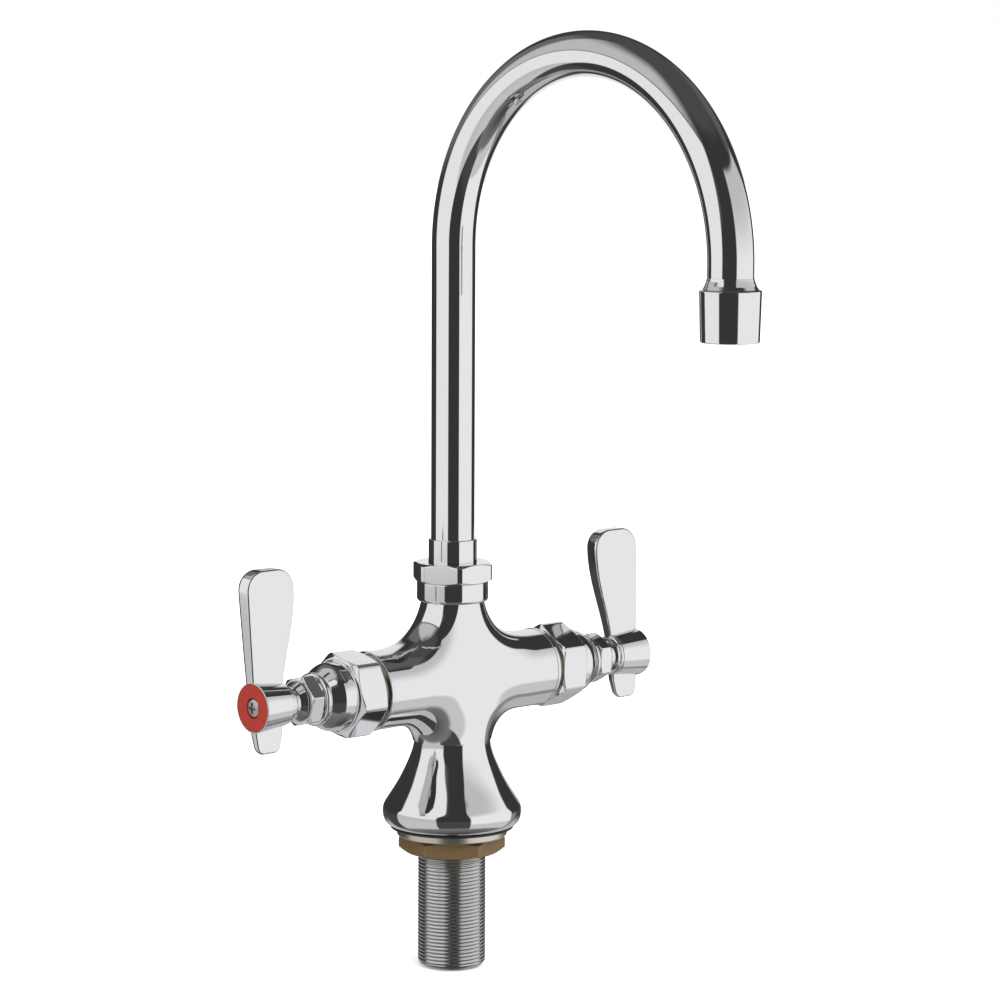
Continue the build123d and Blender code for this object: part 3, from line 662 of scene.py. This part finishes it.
def screwSheets(v):
    # A turned pan head whose height drops where a cross of two rounded slots is cut
    rows, columns, flankPower, leastShare = 60, 144, 6, 0.05
    low = v["hubFront"] - v["indexThickness"]
    share = np.linspace(0, 1, rows)[:, None]
    angle = np.linspace(0, 2 * pi, columns + 1)[None, :]
    radius = v["screwRadius"] * np.sin(share * pi / 2)
    outward = radius / v["screwRadius"]
    flank = np.clip(1 - outward**flankPower, 0, 1)**0.5
    dome = v["screwHeight"] * flank * (1 - v["screwFall"] * outward**2)
    x, y = np.abs(radius * np.cos(angle)), np.abs(radius * np.sin(angle))
    slots = [np.clip((v["slotHalfWidth"] - across) / v["slotSlope"], 0, 1)
             * np.clip((v["slotReach"] - along) / v["slotEndSlope"], 0, 1)
             for across, along in ((x, y), (y, x))]
    height = low + np.maximum(dome - v["slotDepth"] * np.maximum(*slots), leastShare * dome)
    head = aroundAxis(radius, angle, height)
    under = np.stack([head[-1], head[-1] * np.array([0, 0, 1])])
    return [head, under]


def leverPieces(v, side):
    # The blade with its turned, socketed hub, the turned stem sleeve, the index disc and the screw
    prefix, body, indexSlot = v["names"][side]
    front, socket = v["hubFront"], v["indexRadius"] + v["socketGap"]
    seat = front - v["indexThickness"]
    hub = softLine([
        (0, v["hubRear"], 0), (v["hubRearRadius"], v["hubRear"], v["hubRearRound"]),
        (v["hubFrontRadius"], front, v["hubFrontRound"]), (socket, front, v["socketRound"]),
        (socket, seat, 0), (0, seat, 0)])
    lever = bladeSheets(blade, side) + [onArm(turnedSheet(hub), side)]
    makePiece(prefix + "leverSkin", lever, body, prefix + "handle", "chrome")
    low, high = v["glandHigh"] + v["stemGap"], v["hubRear"]
    cone, flare = lifted(v["stemCone"], low, v["stemRadius"]), lifted(v["stemFlare"], high, v["stemRadius"])
    stem = turnedSheet(softLine([(0, low, 0), *cone, *flare, (0, flare[-1][1], 0)]), segments=96)
    makePiece(prefix + "stemSkin", [onArm(stem, side)], body, prefix + "stem_sleeve", "chrome")
    disc = turnedSheet(ringLine(v["screwRadius"] + v["indexGap"], v["indexRadius"],
                                seat, front - v["indexBack"], v["indexRounds"]))
    makePiece(prefix + "indexSkin", [onArm(disc, side)], body, prefix + "index_disc", indexSlot)
    screw = [onArm(sheet, side) for sheet in screwSheets(v)]
    makePiece(prefix + "crossScrew", screw, body, prefix + "handle_screw", "fine_steel", sharpAngle=50)


for armSide in (1, -1):
    bonnetPiece(valveSide, armSide)
    leverPieces(valveSide, armSide)
print("valve sides made")


# Studio: floor, world, lamps and camera

studio = {
    "floorLevel": -0.0587, "floorSize": 6.0, "floorWhite": 0.92,
    "floorGlow": 0.35, "glowNear": 0.15, "glowFar": 0.9, "ambient": 0.55,
    "lampSize": 1.4, "lampAim": (0.0, 0.0, 0.1),
    "lamps": {"keyLamp": ((-0.9, -1.1, 1.6), 26.0), "fillLamp": ((1.3, -0.6, 1.0), 12.0)},  # place, power
}

view = {
    # Level directions of the photograph's view: towards the camera and to its right
    "front": np.array([-0.66355, -0.74813, 0.0]), "right": np.array([0.74813, -0.66355, 0.0]),
    "distance": 1.518805, "height": 0.326996, "yaw": 0.01273, "pitch": 0.12486, "roll": 0.00473,
    "lens": 134.23, "sensor": 36.0,
}

# Angles of the tent are in degrees. A step is (amount, where it starts, where it is full); an edge is
# (where it starts, where it is full).
tent = {
    "radius": 0.45, "centre": (0.0, -0.05, 0.13), "columns": 401, "rows": 201,
    "gapLevel": 0.042, "ceilingStep": (0.035, 52, 62), "groundStep": (0.026, -16, -26),
    "bandStep": (0.13, -46, -52), "bandEnd": (-90, -52),
    # The curved line between the left box and its reflector: top, fall by angle squared, middle
    "crest": (46, 0.0029, -30), "crestEdge": 1.0, "seam": (1.4, 3.0),
    # Level, then the left, right, low and high edges
    "reflector": (0.58, (-131, -114), (-8, -52), (24, 32), (88, 60)),
    "panels": [
        (0.16, (-156, -146), (-4, -30), (16, 28), (78, 60)),  # a dim rim round the reflector
        (0.12, (58, 96), (162, 130), (38, 48), (72, 58)),  # ceiling on the right
        (0.30, (110, 118), (150, 124), (-80, -60), (-14, -24)),  # low on the right, behind
    ],
    # Behind the object on both sides: level, then the side, low and high edges
    "behind": [
        (0.52, (122, 136), (-84, -70), (-25, -40)),  # ground
        (0.88, (158, 167), (-24, -12), (40, 30)),  # backdrop
    ],
    "boxEdge": 1.5, "farEdge": 2.0,
    "leftLevel": 0.93, "leftFrom": -102.0, "leftFromLean": (-10, 8, 26),
    "leftTo": -31.5, "leftToLean": (12, 5, 45), "leftBottom": (-56, -48),
    "leftFall": (0.36, -7, -13), "leftRise": (0.05, -20, -30),
    "rightLevel": 0.9672, "rightFrom": 29.5, "rightTo": 120.0, "rightToLean": (-22, 24, 44),
    "rightBottom": (-58, -50), "rightTop": (46, 43),
    "rightHighFall": (0.38, 10, 36), "rightLowFall": (0.32, -31, -36),
}


def seenDirectly(nodes, links):
    # One for camera, mirror and glass rays, nothing for the rest: the largest of the three flags
    path = nodes.new("ShaderNodeLightPath")
    first, second = mathNode(nodes, "MAXIMUM"), mathNode(nodes, "MAXIMUM")
    links.new(path.outputs["Is Camera Ray"], first.inputs[0])
    links.new(path.outputs["Is Glossy Ray"], first.inputs[1])
    links.new(first.outputs[0], second.inputs[0])
    links.new(path.outputs["Is Transmission Ray"], second.inputs[1])
    return second.outputs[0]


def floorMaterial(s):
    # Plain white matt floor. Cameras, mirrors and glass also see an even glow, weak near the object,
    # so that its shadow stays, and full further out: strength = level * ray flag * spread of distance
    material, nodes, links = newMaterial("paleFloor", keepShader=False)
    matt = nodes.new("ShaderNodeBsdfDiffuse")
    matt.inputs["Color"].default_value = (s["floorWhite"], s["floorWhite"], s["floorWhite"], 1)
    light, both = nodes.new("ShaderNodeEmission"), nodes.new("ShaderNodeAddShader")
    place = nodes.new("ShaderNodeTexCoord")
    far = nodes.new("ShaderNodeVectorMath")
    far.operation = "LENGTH"
    spread = nodes.new("ShaderNodeMapRange")
    for socket, value in (("From Min", s["glowNear"]), ("From Max", s["glowFar"]),
                          ("To Min", s["floorGlow"]), ("To Max", 1.0)):
        spread.inputs[socket].default_value = value
    strength = mathNode(nodes, "MULTIPLY")
    links.new(place.outputs["Object"], far.inputs[0])
    links.new(far.outputs["Value"], spread.inputs["Value"])
    links.new(spread.outputs["Result"], strength.inputs[0])
    links.new(seenDirectly(nodes, links), strength.inputs[1])
    links.new(strength.outputs[0], light.inputs["Strength"])
    links.new(matt.outputs[0], both.inputs[0])
    links.new(light.outputs[0], both.inputs[1])
    links.new(both.outputs[0], nodes["Material Output"].inputs["Surface"])
    return material


def buildWorld(s):
    # Even white all round: at the ambient strength for matt surfaces, and at one where it is seen directly
    world = bpy.data.worlds.new("studioWorld")
    bpy.context.scene.world = world
    world.use_nodes = True
    nodes, links = world.node_tree.nodes, world.node_tree.links
    soft, plain = nodes["Background"], nodes.new("ShaderNodeBackground")
    for shader, strength in ((soft, s["ambient"]), (plain, 1.0)):
        shader.inputs["Color"].default_value = (1, 1, 1, 1)
        shader.inputs["Strength"].default_value = strength
    mix = nodes.new("ShaderNodeMixShader")
    links.new(seenDirectly(nodes, links), mix.inputs["Fac"])
    links.new(soft.outputs[0], mix.inputs[1])
    links.new(plain.outputs[0], mix.inputs[2])
    links.new(mix.outputs[0], nodes["World Output"].inputs["Surface"])


def addFloor(s):
    # One square below the object; mirrors see the tent in its place
    size, level = s["floorSize"], s["floorLevel"]
    mesh = bpy.data.meshes.new("floor")
    corners = [(-size, -size, level), (size, -size, level), (size, size, level), (-size, size, level)]
    mesh.from_pydata(corners, [], [(0, 1, 2, 3)])
    mesh.materials.append(floorMaterial(s))
    floor = bpy.data.objects.new("floor", mesh)
    floor.visible_glossy = False
    bpy.context.scene.collection.objects.link(floor)


def ramp(step, value):
    # The step's amount times a smooth step between its two places
    return step[0] * soften(step[1], step[2], value)


def patch(turn, rise, left, right, low, high):
    # One inside a rectangle of directions, fading to nothing at its edges
    return soften(*left, turn) * soften(*right, turn) * soften(*low, rise) * soften(*high, rise)


def tentLevel(t, turn, rise):
    # Light by direction: turn is the angle from the camera's side, to its right; rise is above the level.
    # The level is the brightest of the dark gap and the dim panels, then each box is laid over it:
    # two tall light boxes stand left and right, and a soft grey reflector hangs over the left one
    level = t["gapLevel"] + ramp(t["ceilingStep"], rise) + ramp(t["groundStep"], rise)
    level = level + ramp(t["bandStep"], rise) * soften(*t["bandEnd"], rise)
    crestTop, crestFall, crestMiddle = t["crest"]
    top = crestTop - crestFall * (turn - crestMiddle)**2
    overTop = soften(top + t["seam"][0], top + t["seam"][1], rise)
    level = np.maximum(level, t["reflector"][0] * patch(turn, rise, *t["reflector"][1:]) * overTop)
    for light, *edges in t["panels"]:
        level = np.maximum(level, light * patch(turn, rise, *edges))
    for light, sideEdge, low, high in t["behind"]:
        behind = soften(*sideEdge, np.abs(turn)) * soften(*low, rise) * soften(*high, rise)
        level = np.maximum(level, light * behind)
    edge, far = t["boxEdge"], t["farEdge"]
    start = t["leftFrom"] + ramp(t["leftFromLean"], rise)
    end = t["leftTo"] + ramp(t["leftToLean"], rise)
    left = soften(start - 2 * edge, start, turn) * soften(end + edge, end - edge, turn)
    left = left * soften(top + t["crestEdge"], top - t["crestEdge"], rise) * soften(*t["leftBottom"], rise)
    leftLight = t["leftLevel"] * (1 - ramp(t["leftFall"], rise) + ramp(t["leftRise"], rise))
    start, end = t["rightFrom"], t["rightTo"] + ramp(t["rightToLean"], rise)
    right = soften(start - edge, start + edge, turn) * soften(end + far, end - far, turn)
    right = right * soften(*t["rightTop"], rise) * soften(*t["rightBottom"], rise)
    rightLight = t["rightLevel"] * (1 - ramp(t["rightHighFall"], rise) - ramp(t["rightLowFall"], rise))
    level = level + (leftLight - level) * left
    return level + (rightLight - level) * right


def addTent(t):
    # A ball of light and dark panels round the studio that only mirrors see; its levels are an attribute
    turn = np.linspace(-180, 180, t["columns"])[None, :]
    rise = np.linspace(-90, 90, t["rows"])[:, None]
    level = tentLevel(t, turn + 0 * rise, rise + 0 * turn)
    a, r = np.radians(turn)[..., None], np.radians(rise)[..., None]
    around = np.cos(a) * view["front"] + np.sin(a) * view["right"]
    points = np.cos(r) * around + np.sin(r) * np.array([0, 0, 1.0])
    points = points * t["radius"] + np.array(t["centre"])
    mesh = bpy.data.meshes.new("lightTent")
    mesh.from_pydata(points.reshape(-1, 3).tolist(), [], quadsOf(t["rows"], t["columns"], 0).tolist())
    layer = mesh.attributes.new("level", "FLOAT", "POINT")
    layer.data.foreach_set("value", level.ravel())
    material, nodes, links = newMaterial("tentPanels", keepShader=False)
    light, given = nodes.new("ShaderNodeEmission"), nodes.new("ShaderNodeAttribute")
    given.attribute_name = "level"
    links.new(given.outputs["Fac"], light.inputs["Strength"])
    links.new(light.outputs[0], nodes["Material Output"].inputs["Surface"])
    mesh.materials.append(material)
    ball = bpy.data.objects.new("lightTent", mesh)
    ball.visible_camera = ball.visible_diffuse = ball.visible_shadow = ball.visible_transmission = False
    bpy.context.scene.collection.objects.link(ball)


def lookMatrix(right, up, forward, place):
    # Columns: to the right, up and backwards, then the place
    return Matrix([[right[i], up[i], -forward[i], place[i]] for i in range(3)] + [[0, 0, 0, 1]])


def addLamp(name, place, power, s):
    # A square lamp at a place, turned to face a point just above the deck; mirrors don't see it
    light = bpy.data.lights.new(name, "AREA")
    light.shape = "SQUARE"
    light.size = s["lampSize"]
    light.energy = power
    lamp = bpy.data.objects.new(name, light)
    forward = np.array(s["lampAim"]) - np.array(place)
    forward /= np.linalg.norm(forward)
    right = np.cross(forward, [0, 0, 1])
    right /= np.linalg.norm(right)
    lamp.matrix_world = lookMatrix(right, np.cross(right, forward), forward, place)
    lamp.visible_glossy = False
    bpy.context.scene.collection.objects.link(lamp)


def addCamera(v):
    # Yaw, pitch and roll as fitted to the object's own outlines, from the level view's own axes;
    # the frame is taken as 1000 by 1000
    yaw, pitch, roll = v["yaw"], v["pitch"], v["roll"]
    right = np.array([np.cos(yaw), -np.sin(yaw), 0])
    forward = np.array([np.sin(yaw) * np.cos(pitch), np.cos(yaw) * np.cos(pitch), -np.sin(pitch)])
    up = np.array([np.sin(yaw) * np.sin(pitch), np.cos(yaw) * np.sin(pitch), np.cos(pitch)])
    axes = np.stack([v["right"], -v["front"], [0, 0, 1]], 1)
    right, forward, up = axes @ right, axes @ forward, axes @ up
    right, up = right * np.cos(roll) + up * np.sin(roll), up * np.cos(roll) - right * np.sin(roll)
    data = bpy.data.cameras.new("studioCamera")
    data.sensor_fit = "HORIZONTAL"
    data.sensor_width = v["sensor"]
    data.lens = v["lens"]
    camera = bpy.data.objects.new("studioCamera", data)
    camera.matrix_world = lookMatrix(right, up, forward, axes @ np.array([0, -v["distance"], v["height"]]))
    bpy.context.scene.collection.objects.link(camera)
    bpy.context.scene.camera = camera


buildWorld(studio)
addFloor(studio)
addTent(tent)
for lampName, (lampPlace, lampPower) in studio["lamps"].items():
    addLamp(lampName, lampPlace, lampPower, studio)
addCamera(view)
bpy.context.scene.view_settings.view_transform = "Standard"
print("studio made")
